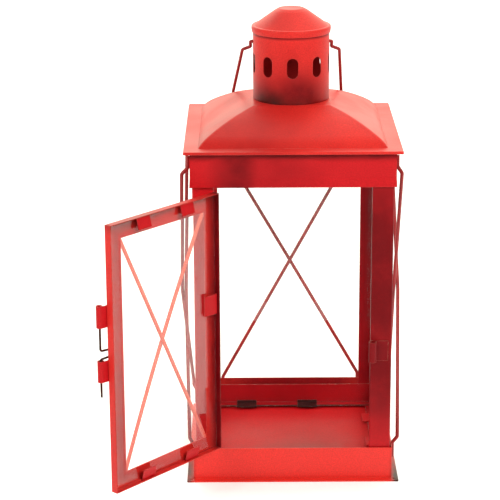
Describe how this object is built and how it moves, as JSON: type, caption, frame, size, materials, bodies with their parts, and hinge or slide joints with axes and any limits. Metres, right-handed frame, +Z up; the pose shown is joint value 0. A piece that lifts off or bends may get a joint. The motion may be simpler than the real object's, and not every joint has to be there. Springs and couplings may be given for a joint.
{
  "type": "barn lantern",
  "caption": "Square sheet-metal barn lantern with glazed sides, crossed guard wires, a hinged glazed door with a wire latch, a vented chimney with a cap, and a wire bail.",
  "frame": {"origin": "centre of the square base, in the plane that the lantern stands on", "axes": "+Z up, the doorway faces -Y, the door's hinges are on the -X side"},
  "size_m": [0.2829, 0.3169, 0.4415],
  "materials": {
    "body_paint": "satin, slightly uneven hand-brushed coat",
    "trim_paint": "satin, worn on the edges",
    "chimney_paint": "satin, sooted and darkened",
    "wire_paint": "satin paint over wire",
    "bolt_metal": "dull, browned bare wire",
    "pane_glass": "clear window glass"
  },
  "bodies": {
    "lantern": {"base_tray": "body_paint", "floor_plate": "body_paint", "corner_post_front_left": "body_paint", "corner_post_front_right": "body_paint", "corner_post_back_left": "body_paint", "corner_post_back_right": "body_paint", "glass_ledge_back": "trim_paint", "glass_ledge_left": "trim_paint", "glass_ledge_right": "trim_paint", "glass_channel_back": "trim_paint", "glass_channel_left": "trim_paint", "glass_channel_right": "trim_paint", "glass_back": "pane_glass", "glass_left": "pane_glass", "glass_right": "pane_glass", "glass_tabs_back": "trim_paint", "glass_tabs_left": "trim_paint", "glass_tabs_right": "trim_paint", "head_band": "body_paint", "roof": "body_paint", "chimney": "chimney_paint", "chimney_cap": "chimney_paint", "guard_back_inner": "wire_paint", "guard_back_outer": "wire_paint", "guard_left_inner": "wire_paint", "guard_left_outer": "wire_paint", "guard_right_inner": "wire_paint", "guard_right_outer": "wire_paint", "upper_hinge_post_leaf": "trim_paint", "lower_hinge_post_leaf": "trim_paint", "hinge_pins": "trim_paint", "keeper_knuckle": "trim_paint"},
    "door": {"door_frame": "body_paint", "door_glass": "pane_glass", "door_glass_tabs": "trim_paint", "door_wire_inner": "wire_paint", "door_wire_outer": "wire_paint", "upper_hinge_door_leaf": "trim_paint", "lower_hinge_door_leaf": "trim_paint", "latch_knuckle_upper": "trim_paint", "latch_knuckle_lower": "trim_paint"},
    "bolt": {"latch_bolt": "bolt_metal"},
    "bail": {"bail_handle": "wire_paint"}
  },
  "joints": [
    {"name": "door_swing", "type": "hinge", "parent": "lantern", "child": "door", "pos_m": [-0.07344, -0.09568, 0.1595], "axis": [0, 0, 1], "range_deg": [-48, 131.36]},
    {"name": "bolt_slide", "type": "slide", "parent": "door", "child": "bolt", "axis": [0, 0, 1], "range_m": [0, 0.02]},
    {"name": "bail_swing", "type": "hinge", "parent": "lantern", "child": "bail", "pos_m": [0, 0, 0.4096], "axis": [1, 0, 0], "range_deg": [0, 264]}
  ]
}
